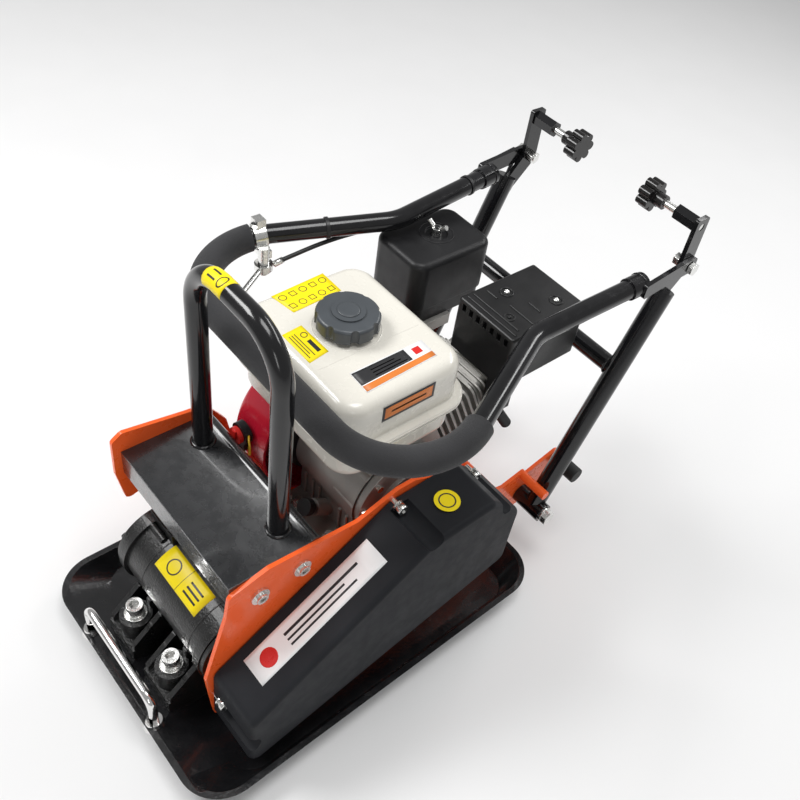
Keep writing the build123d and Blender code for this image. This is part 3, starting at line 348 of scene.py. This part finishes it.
# ---------------------------------------------------------------- shapes for the small pieces
def vec(x, y, z):
    """A point given in millimetres."""
    return Vector((x, y, z)) * MM


def frame_for(axis):
    """Two unit vectors square to axis and to each other."""
    axis = Vector(axis).normalized()
    helper = Vector((0, 0, 1)) if abs(axis.z) < 0.9 else Vector((1, 0, 0))
    side = helper.cross(axis).normalized()
    return side, axis.cross(side)


def lathe_into(bm, profile, origin, axis, segments=40, wobble=0.0, closed=False):
    """Turns (radius, height) pairs in millimetres about axis, through origin in metres."""
    axis = Vector(axis).normalized()
    side, other = frame_for(axis)
    rings = []
    for radius, height in profile:
        ring = []
        for step in range(segments):
            angle = 2 * math.pi * step / segments
            reach = (radius + random.uniform(-wobble, wobble)) * MM
            spot = origin + axis * height * MM + (side * math.cos(angle) + other * math.sin(angle)) * reach
            ring.append(bm.verts.new(spot))
        rings.append(ring)
    pairs = list(zip(rings, rings[1:]))
    if closed:
        pairs.append((rings[-1], rings[0]))
    for low, high in pairs:
        for step in range(segments):
            after = (step + 1) % segments
            bm.faces.new((low[step], low[after], high[after], high[step]))
    if not closed:
        bm.faces.new(list(reversed(rings[0])))
        bm.faces.new(rings[-1])


def from_bmesh(name, bm, material, body, smooth=True):
    bmesh.ops.recalc_face_normals(bm, faces=bm.faces)
    mesh = bpy.data.meshes.new(name)
    bm.to_mesh(mesh)
    bm.free()
    return link(name, mesh, material, body, smooth)


def ring_section(inner, outer, half):
    corner = 0.4
    return [(inner, -half), (outer - corner, -half), (outer, -half + corner), (outer, half - corner),
            (outer - corner, half), (inner, half)]


def round_section(radius, bead, sides=10):
    section = []
    for step in range(sides):
        angle = 2 * math.pi * step / sides
        section.append((radius + bead * math.cos(angle), bead * math.sin(angle)))
    return section


def weld(name, centre, axis, radius, bead, body, material):
    bm = bmesh.new()
    lathe_into(bm, round_section(radius, bead), centre, axis, 72, wobble=bead * 0.16, closed=True)
    return from_bmesh(name, bm, material, body)


def tie(name, centre, axis, inner, body):
    bm = bmesh.new()
    lathe_into(bm, ring_section(inner, inner + 1.5, 2.6), centre, axis, 48, closed=True)
    piece = from_bmesh(name, bm, CABLE, body)
    return bevelled(piece, 0.3 * MM)


def rounded_outline(width, depth, radius, steps=5):
    outline = []
    for corner, (sx, sy) in enumerate(((1, -1), (1, 1), (-1, 1), (-1, -1))):
        for step in range(steps + 1):
            angle = math.radians(-90 + 90 * corner + 90 * step / steps)
            outline.append((
                sx * (width / 2 - radius) + radius * math.cos(angle),
                sy * (depth / 2 - radius) + radius * math.sin(angle),
            ))
    return outline


def wire(name, points, radius, material, body, cyclic=False):
    """A round wire or raised rib along given points, in metres."""
    data = bpy.data.curves.new(name, "CURVE")
    data.dimensions = "3D"
    data.bevel_depth = radius
    data.bevel_resolution = 4
    data.resolution_u = 12
    data.use_fill_caps = True
    spline = data.splines.new("NURBS")
    spline.points.add(len(points) - 1)
    for spot, point in zip(points, spline.points):
        point.co = (*spot, 1)
    spline.order_u = 3
    spline.use_endpoint_u = not cyclic
    spline.use_cyclic_u = cyclic
    data.materials.append(material)
    piece = bpy.data.objects.new(name, data)
    bpy.context.collection.objects.link(piece)
    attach(piece, body)
    return piece


# ---------------------------------------------------------------- labels without lettering
def flat_patch(corners):
    """A flat surface from four corners in millimetres: (u, v) from 0 to 1 gives a point and its normal."""
    a, b, c, d = [vec(*corner) for corner in corners]
    normal = (b - a).cross(d - a).normalized()

    def surface(u, v):
        low = a.lerp(b, u)
        high = d.lerp(c, u)
        return low.lerp(high, v), normal
    return surface


def drum_patch(x0, x1, angle0, angle1, centre_y, centre_z, radius):
    """A strip round a drum that lies along X, between two places along it and two angles."""
    def surface(u, v):
        angle = math.radians(angle0 + (angle1 - angle0) * v)
        normal = Vector((0, math.cos(angle), math.sin(angle)))
        return vec(x0 + (x1 - x0) * u, centre_y, centre_z) + normal * radius * MM, normal
    return surface


def label(name, surface, size, base, marks, body):
    """A thin label; marks are bars, rings and lines in millimetres on a face of that size."""
    width, height = size
    bm = bmesh.new()
    materials = [base]

    def sheet(quad, lift, index):
        grid = []
        for row in range(SHEET_STEPS + 1):
            line = []
            for column in range(SHEET_STEPS + 1):
                s, t = column / SHEET_STEPS, row / SHEET_STEPS
                low = quad[0].lerp(quad[1], s)
                high = quad[3].lerp(quad[2], s)
                spot = low.lerp(high, t)
                point, normal = surface(spot.x / width, spot.y / height)
                line.append(bm.verts.new(point + normal * lift * MM))
            grid.append(line)
        for row in range(SHEET_STEPS):
            for column in range(SHEET_STEPS):
                low, high = grid[row], grid[row + 1]
                face = bm.faces.new((low[column], low[column + 1], high[column + 1], high[column]))
                face.material_index = index

    sheet([Vector((0, 0)), Vector((width, 0)), Vector((width, height)), Vector((0, height))], LABEL_LIFT, 0)
    for kind, material, values in marks:
        if material not in materials:
            materials.append(material)
        index = materials.index(material)
        if kind == "bar":
            x0, y0, x1, y1 = values
            sheet([Vector((x0, y0)), Vector((x1, y0)), Vector((x1, y1)), Vector((x0, y1))], MARK_LIFT, index)
        elif kind == "ring":
            cx, cy, radius, band = values
            for step in range(RING_STEPS):
                a0 = 2 * math.pi * step / RING_STEPS
                a1 = 2 * math.pi * (step + 1) / RING_STEPS
                inner = radius - band
                sheet([
                    Vector((cx + inner * math.cos(a0), cy + inner * math.sin(a0))),
                    Vector((cx + radius * math.cos(a0), cy + radius * math.sin(a0))),
                    Vector((cx + radius * math.cos(a1), cy + radius * math.sin(a1))),
                    Vector((cx + inner * math.cos(a1), cy + inner * math.sin(a1))),
                ], MARK_LIFT, index)
        elif kind == "line":
            points, band = values
            for first, second in zip(points, points[1:]):
                first, second = Vector(first), Vector(second)
                run = (second - first).normalized() * band / 2
                side = Vector((-run.y, run.x))
                first, second = first - run, second + run
                sheet([first - side, second - side, second + side, first + side], MARK_LIFT, index)
    mesh = bpy.data.meshes.new(name)
    bm.to_mesh(mesh)
    bm.free()
    piece = bpy.data.objects.new(name, mesh)
    bpy.context.collection.objects.link(piece)
    mesh.shade_smooth()
    for material in materials:
        mesh.materials.append(material)
    shell = piece.modifiers.new("thickness", "SOLIDIFY")
    shell.thickness = LABEL_THICKNESS * MM
    shell.offset = -1
    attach(piece, body)
    return piece


def square_line(cx, cy, half, band):
    corners = [(cx - half, cy - half), (cx + half, cy - half), (cx + half, cy + half),
               (cx - half, cy + half), (cx - half, cy - half)]
    return ("line", INK, (corners, band))


def tank_labels():
    marks = []
    for row in range(2):
        for column in range(5):
            cx = 9 + 16 * column
            cy = 11 + 20 * row
            if (row + column) % 2:
                marks.append(("ring", INK, (cx, cy, 5.5, 1.0)))
            else:
                marks.append(square_line(cx, cy, 4, 1.0))
    corners = [(-92, 19, TANK_TOP), (-97, 98, TANK_TOP), (-139, 98, TANK_TOP), (-133, 12, TANK_TOP)]
    label("tank_label_yellow_wide", flat_patch(corners), (82, 42), YELLOW_LABEL, marks, "base")

    marks = [("bar", INK, (8, 5 + 4.2 * row, 52 - 6 * (row % 2), 6.2 + 4.2 * row)) for row in range(3)]
    marks += [("ring", INK, (16, 24, 5, 1.2)), ("bar", INK, (27, 20, 50, 26))]
    corners = [(-64, -18, TANK_TOP), (-5, -18, TANK_TOP), (-10, 14, TANK_TOP), (-67, 13, TANK_TOP)]
    label("tank_label_yellow_small", flat_patch(corners), (58, 32), YELLOW_LABEL, marks, "base")

    marks = [("bar", INK, (1, 12, 84, 33)), ("bar", ORANGE_LABEL, (1, 1.5, 115, 10.5))]
    marks += [("bar", WHITE_LABEL, (26, 15.5 + 5 * row, 78 - 7 * row, 17 + 5 * row)) for row in range(3)]
    marks.append(("bar", RED, (93, 16.5, 105, 28.5)))
    corners = [(73, 10, TANK_TOP), (68, 126, TANK_TOP), (35, 127, TANK_TOP), (35, 12, TANK_TOP)]
    label("tank_label_dark", flat_patch(corners), (116, 35), WHITE_LABEL, marks, "base")

    marks = [("bar", ORANGE_LABEL, (4, 4, 80, 22)), ("bar", INK, (14, 11.5, 70, 14.5))]
    corners = [(95, 19, 480), (95, 103, 480), (95, 103, 506), (95, 19, 506)]
    label("tank_label_side", flat_patch(corners), (84, 26), INK, marks, "base")


def slope_point(share, x):
    """A point on the sloping top of the belt guard, share of the way up."""
    spot = Vector((0, *GUARD_SLOPE_FOOT)).lerp(Vector((0, *GUARD_SLOPE_HEAD)), share)
    return (x, spot.y, spot.z)


def guard_labels():
    marks = [("ring", RED, (28, 22, 13, 13)), ("bar", INK, (60, 27, 190, 31)),
             ("bar", INK, (60, 19, 160, 22)), ("bar", INK, (60, 11, 176, 14))]
    corners = [slope_point(0.13, 174), slope_point(0.83, 174), slope_point(0.83, 130),
               slope_point(0.13, 130)]
    label("guard_label_white", flat_patch(corners), (220, 44), WHITE_LABEL, marks, "base")
    place = vec(160, 100, 334)
    disc = bmesh.new()
    lathe_into(disc, [(18.5, 0), (18.5, 0.3)], place, (0, 0, 1), 64)
    from_bmesh("guard_label_round", disc, YELLOW_LABEL, "base", smooth=False)
    rim = bmesh.new()
    lathe_into(rim, [(10.5, 0.3), (10.5, 0.5), (12.5, 0.5), (12.5, 0.3)], place, (0, 0, 1), 64, closed=True)
    from_bmesh("guard_label_round_ring", rim, INK, "base", smooth=False)


def exciter_label():
    marks = [("ring", INK, (26, 20, 12, 2.0)), ("bar", INK, (51, 0, 51.6, 40))]
    marks += [("bar", INK, (62, 9 + 8 * row, 91, 12 + 8 * row)) for row in range(3)]
    surface = drum_patch(-62, 40, 135, 100, EXCITER_Y, EXCITER_Z, 62)
    label("exciter_label", surface, (102, 40), YELLOW_LABEL, marks, "base")


def hoop_point(distance):
    """Centre and direction of the lifting hoop's tube, measured along it from the left bend's start."""
    radius = HOOP_BEND_RADIUS
    left = CENTRE_X - HOOP_HALF
    top = HOOP_BEND_Z + radius
    arc = radius * math.pi / 2
    flat = 2 * HOOP_HALF - 2 * radius
    if distance < arc:
        angle = distance / radius
        centre = vec(left + radius - radius * math.cos(angle), HOOP_Y, HOOP_BEND_Z + radius * math.sin(angle))
        return centre, Vector((math.sin(angle), 0, math.cos(angle)))
    if distance < arc + flat:
        return vec(left + radius + distance - arc, HOOP_Y, top), Vector((1, 0, 0))
    angle = (distance - arc - flat) / radius
    x = left + radius + flat + radius * math.sin(angle)
    centre = vec(x, HOOP_Y, HOOP_BEND_Z + radius * math.cos(angle))
    return centre, Vector((math.cos(angle), 0, -math.sin(angle)))


def hoop_patch(start, end, angle0, angle1):
    """A strip round the hoop's tube, between two distances along it and two angles."""
    def surface(u, v):
        centre, direction = hoop_point(start + (end - start) * u)
        outward = direction.cross(Vector((0, 1, 0))).normalized()
        angle = math.radians(angle0 + (angle1 - angle0) * v)
        normal = outward * math.cos(angle) + Vector((0, -1, 0)) * math.sin(angle)
        return centre + normal * HOOP_LABEL_REACH * MM, normal
    return surface


def hoop_label():
    marks = [("ring", INK, (40, 16, 7.5, 1.5)), ("bar", INK, (10, 11, 28, 13)),
             ("bar", INK, (10, 19, 28, 21))]
    label("hoop_label", hoop_patch(76, 113, 100, -60), (54, 32), YELLOW_LABEL, marks, "base")


# ---------------------------------------------------------------- engine details
def screw_head(name, place, axis, radius, height, material, body):
    bm = bmesh.new()
    profile = [(radius, 0), (radius, height * 0.35), (radius * 0.86, height * 0.75), (radius * 0.55, height),
               (radius * 0.42, height), (radius * 0.36, height * 0.6)]
    lathe_into(bm, profile, place, axis, 32)
    return from_bmesh(name, bm, material, body)


def make_muffler_details():
    top = MUFFLER_TOP
    for number, (x, y) in enumerate(((15, 306), (66, 357))):
        screw_head(f"muffler_screw_{number}", vec(x, y, top), (0, 0, 1), 4.6, 3.2, ZINC, "base")
        bm = bmesh.new()
        lathe_into(bm, round_section(9.5, 1.5), vec(x, y, top), (0, 0, 1), 48, closed=True)
        from_bmesh(f"muffler_screw_ring_{number}", bm, ENAMEL, "base")
    screw_head("muffler_plug", vec(57, 271, top), (0, 0, 1), 3.2, 2.2, ENAMEL, "base")
    bm = bmesh.new()
    lathe_into(bm, round_section(7.5, 1.4), vec(57, 271, top), (0, 0, 1), 48, closed=True)
    from_bmesh("muffler_plug_ring", bm, ENAMEL, "base")
    ribs = (
        [(-6, 262), (20, 262), (52, 262), (84, 262)],
        [(-6, 251), (20, 251), (55, 251), (90, 251)],
        [(40, 290), (55, 290), (75, 290), (86, 290)],
        [(50, 318), (56, 318), (64, 318), (72, 318)],
        [(-2, 284), (4, 284), (12, 284), (18, 284)],
    )
    for number, rib in enumerate(ribs):
        wire(f"muffler_rib_{number}", [vec(x, y, top - 0.2) for x, y in rib], 1.8 * MM, ENAMEL, "base")


def make_tank_details():
    wire("tank_top_step", [vec(10, y, TANK_TOP - 0.5) for y in (-16, 30, 90, 143)], 0.9 * MM, CREAM, "base")
    bm = bmesh.new()
    centre = vec(FILLER_X, FILLER_Y, TANK_TOP - 0.4)
    lathe_into(bm, round_section(45, 1.0), centre, (0, 0, 1), 96, closed=True)
    from_bmesh("tank_filler_ring", bm, CREAM, "base")
    for number, height in enumerate((446.5, 451.5)):
        outline = rounded_outline(TANK_WIDTH + 24.5, TANK_DEPTH + 22.5, 44)
        centre = vec(-23.5, 63.5, height)
        points = [centre + vec(u, v, 0) for u, v in outline]
        wire(f"tank_seam_{number}", points, 1.0 * MM, CREAM, "base", cyclic=True)
    bm = bmesh.new()
    place = Vector((FILLER_X * MM, FILLER_Y * MM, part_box("fuel_cap")[1].z))
    lathe_into(bm, [(15, -0.5), (15, 0.6), (13, 1.4), (6, 1.8)], place, (0, 0, 1), 48)
    from_bmesh("fuel_cap_centre", bm, CAP_GREY, "fuel_cap")


def air_cleaner_ring():
    bm = bmesh.new()
    lathe_into(bm, round_section(26, 1.2), vec(-137, 303, 514.8), (0, 0, 1), 72, closed=True)
    from_bmesh("air_cleaner_ring", bm, PLASTIC, "base")


def plate_discs():
    for number, (y, z) in enumerate(((-164, 290), (-102, 297))):
        bm = bmesh.new()
        profile = [(12.5, 0), (12.5, 0.9), (11.8, 1.4), (7.5, 1.5), (7.0, 1.0), (4.0, 1.0), (3.6, 1.6),
                   (1.2, 1.7)]
        lathe_into(bm, profile, vec(PLATE_FACE_X, y, z), (1, 0, 0), 48)
        from_bmesh(f"plate_disc_{number}", bm, ZINC, "base")


def guard_screws():
    profile = [(8, 0), (8, 10.5), (7.3, 11.5), (4, 11.5), (3.8, 8)]
    for number, (y, z) in enumerate(((-230.4, 110.2), (42.2, 330.3), (184.7, 301.1))):
        bm = bmesh.new()
        lathe_into(bm, profile, vec(GUARD_SEAT_X, y, z), (1, 0, 0), 32)
        from_bmesh(f"guard_screw_{number}", bm, ZINC, "base")


def drum_point(angle, reach):
    """A point round the exciter's axis in the (y, z) plane, angle from the rear going up."""
    turn = math.radians(angle)
    return EXCITER_Y + reach * math.cos(turn), EXCITER_Z + reach * math.sin(turn)


def exciter_details():
    y, z = drum_point(108, 61)
    wire("exciter_cast_bar", [vec(x, y, z) for x in (-120, -105, -90, -78)], 6 * MM, CAST_BLACK, "base")
    for number, angle in enumerate((100, 172)):
        y, z = drum_point(angle, 52)
        screw_head(f"exciter_flange_screw_{number}", vec(-125, y, z), (-1, 0, 0), 6.5, 5, ZINC, "base")
    for number, x in enumerate((-70, 52)):
        bm = bmesh.new()
        centre = vec(x, EXCITER_Y, EXCITER_Z)
        lathe_into(bm, round_section(61.6, 1.2), centre, (1, 0, 0), 96, wobble=0.2, closed=True)
        from_bmesh(f"exciter_cast_line_{number}", bm, CAST_BLACK, "base")


def crankcase_details():
    for number, angle in enumerate((175, 135, -140)):
        turn = math.radians(angle)
        y, z = CRANK_Y + 68 * math.cos(turn), CRANK_Z + 68 * math.sin(turn)
        bm = bmesh.new()
        lathe_into(bm, [(8, 0), (8.6, 3), (9.4, 44), (9.4, 46)], vec(26, y, z), (1, 0, 0), 32)
        from_bmesh(f"crankcase_boss_{number}", bm, ALLOY, "base")
    bm = bmesh.new()
    lathe_into(bm, round_section(75.6, 0.9), vec(72, CRANK_Y, CRANK_Z), (1, 0, 0), 96, closed=True)
    from_bmesh("crankcase_gasket_line", bm, GASKET, "base")
    for number, x in enumerate((-48, -30, -14, 34, 50)):
        points = [vec(x, 22, z) for z in (193, 206, 222, 238)]
        wire(f"crankcase_rib_{number}", points, 2.0 * MM, ALLOY, "base")
    for number, x in enumerate((-52, 58)):
        screw_head(f"crankcase_flange_screw_{number}", vec(x, -4, 192), (0, 0, 1), 6, 5, ZINC, "base")


def left_arm(y):
    """Centre and direction of the upper handle's left arm at y, either side of its bend."""
    run = ARM_FRONT_RUN if y < ARM_BEND_Y else ARM_REAR_RUN
    half = ARM_BEND_HALF + abs(y - ARM_BEND_Y) / abs(run[1]) * abs(run[0])
    return vec(CENTRE_X - half, y, ARM_HINGE_Z - (ARM_HINGE_Y - y) * ARM_FALL), run


def make_cable_details():
    for number, y in enumerate((154, 395)):
        centre, direction = left_arm(y)
        tie(f"cable_tie_{number}", centre, direction, 14.3, "upper_handle")
    spots = [(-219, 62, 492.6), (-217.5, 70, 492.5), (-216.4, 76, 492.4)]
    wire("throttle_inner_wire", [vec(*spot) for spot in spots], 1.6 * MM, STEEL, "upper_handle")
    bm = bmesh.new()
    lathe_into(bm, [(3.4, -9), (4.6, -8), (4.6, 7), (3.6, 8)], vec(-216, 80, 492.6), (0.03, 0.98, 0.18), 28)
    from_bmesh("throttle_cable_ferrule", bm, ZINC, "upper_handle")
    spots = [(-88, -50, 327), (-78, -57, 334), (-70, -60, 324), (-70, -60, 310), (-78, -56, 300),
             (-88, -50, 303)]
    wire("switch_wire_loop", [vec(*spot) for spot in spots], 1.4 * MM, YELLOW_WIRE, "base")


def make_welds():
    for side in (-1, 1):
        name = "left" if side < 0 else "right"
        foot = vec(CENTRE_X + HOOP_HALF * side, HOOP_Y, 330.5)
        weld(f"weld_hoop_{name}", foot, (0, 0, 1), 14.5, 3.0, "base", BLACK)
        cross = vec(CENTRE_X + 155 * side, 452.3, 386.6)
        weld(f"weld_cross_tube_{name}", cross, (1, 0, 0), 14.2, 2.4, "lower_frame", BLACK)
        end = vec(CENTRE_X + 157.5 * side, 445, 549.6)
        weld(f"weld_handle_end_{name}", end, (14 * side, 204, 13.5), 16.2, 1.6, "upper_handle", BLACK)


tank_labels()
guard_labels()
exciter_label()
hoop_label()
make_muffler_details()
make_tank_details()
make_cable_details()
make_welds()
air_cleaner_ring()
plate_discs()
guard_screws()
exciter_details()
crankcase_details()


# ---------------------------------------------------------------- studio floor
def make_floor():
    mesh = bpy.data.meshes.new("floor")
    reach = FLOOR_HALF
    corners = [(-reach, -reach, 0), (reach, -reach, 0), (reach, reach, 0), (-reach, reach, 0)]
    mesh.from_pydata(corners, [], [(0, 1, 2, 3)])
    floor = bpy.data.objects.new("floor", mesh)
    bpy.context.collection.objects.link(floor)
    mesh.materials.append(finish("pale_floor", (0.86, 0.86, 0.86), 0.75, vary=0.01, vary_scale=2))
    floor.location = (0, 0, -FLOOR_DROP)


make_floor()
